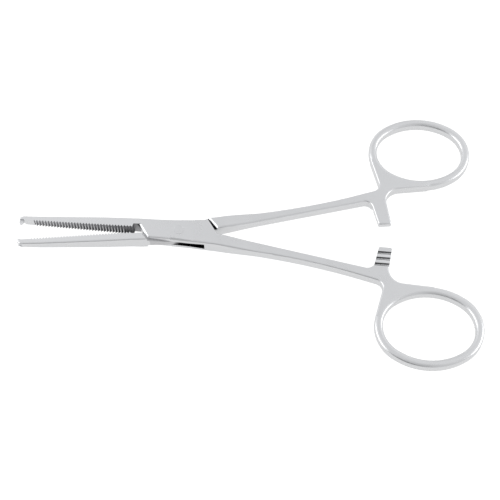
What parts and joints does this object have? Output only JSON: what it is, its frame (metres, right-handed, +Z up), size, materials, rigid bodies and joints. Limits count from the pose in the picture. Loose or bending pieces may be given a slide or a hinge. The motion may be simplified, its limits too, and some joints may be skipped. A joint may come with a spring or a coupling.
{
  "type": "hysterectomy forceps",
  "caption": "Straight box-lock clamp with ridged, toothed jaws, finger rings and a ratchet, part open as in use. Satin stainless steel.",
  "frame": {"origin": "lock pin's axis at the underside of the box lock, which is the face the forceps lies on", "axes": "+X towards the finger rings with the jaws at -X, +Y towards the male half's ring, +Z up along the lock pin, out of the plane of the jaws"},
  "size_m": [0.1382, 0.0862, 0.0048],
  "materials": {
    "satin_steel": "satin ground stainless steel, brighter on the rounded edges",
    "pin_steel": "satin ground stainless steel, flush with the box"
  },
  "bodies": {
    "female": {"female_half": "satin_steel", "lock_pin": "pin_steel"},
    "male": {"male_half": "satin_steel"}
  },
  "joints": [
    {"name": "box_lock", "type": "hinge", "parent": "female", "child": "male", "pos_m": [0, 0, 0], "axis": [0, 0, 1], "range_deg": [-8.07, 50]}
  ]
}
